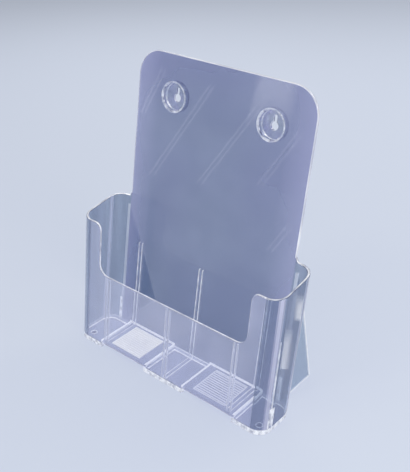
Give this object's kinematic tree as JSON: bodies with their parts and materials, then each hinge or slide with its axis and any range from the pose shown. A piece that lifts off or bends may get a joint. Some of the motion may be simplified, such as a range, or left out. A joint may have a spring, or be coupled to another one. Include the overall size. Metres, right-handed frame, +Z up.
{
  "type": "magazine rack",
  "caption": "Leaning clear magazine rack with one deep pocket, a tall back panel, a cut-out front, keyhole cups for wall hanging and rear support fins.",
  "frame": {"origin": "middle of the footprint, on the ground", "axes": "+X to the right seen from the front, -Y is the side the pocket faces, +Z up"},
  "size_m": [0.235, 0.0988, 0.2852],
  "materials": {
    "clear_plastic": "clear moulded polystyrene, polished, faint violet-grey haze",
    "clear_rails": "clear moulded rails whose edges catch the light",
    "clear_cups": "clear moulded cup with a polished rim",
    "clear_feet": "clear moulded tray with bright, light-gathering lower edges",
    "frosted_ridges": "clear plastic with fine ridges that look frosted"
  },
  "bodies": {
    "root": {"back_panel": "clear_plastic", "front_wall": "clear_plastic", "left_side_wall": "clear_plastic", "right_side_wall": "clear_plastic", "left_keyhole_cup": "clear_cups", "right_keyhole_cup": "clear_cups", "left_foot": "clear_feet", "centre_foot": "clear_feet", "right_foot": "clear_feet", "left_raised_floor": "clear_plastic", "right_raised_floor": "clear_plastic", "left_grip_pad": "frosted_ridges", "right_grip_pad": "frosted_ridges", "left_rear_fin": "clear_plastic", "right_rear_fin": "clear_plastic", "left_back_rails": "clear_rails", "left_floor_rails": "clear_rails", "left_front_rails": "clear_rails", "centre_back_rails": "clear_rails", "centre_floor_rails": "clear_rails", "centre_front_rails": "clear_rails", "right_back_rails": "clear_rails", "right_floor_rails": "clear_rails", "right_front_rails": "clear_rails"}
  },
  "joints": []
}
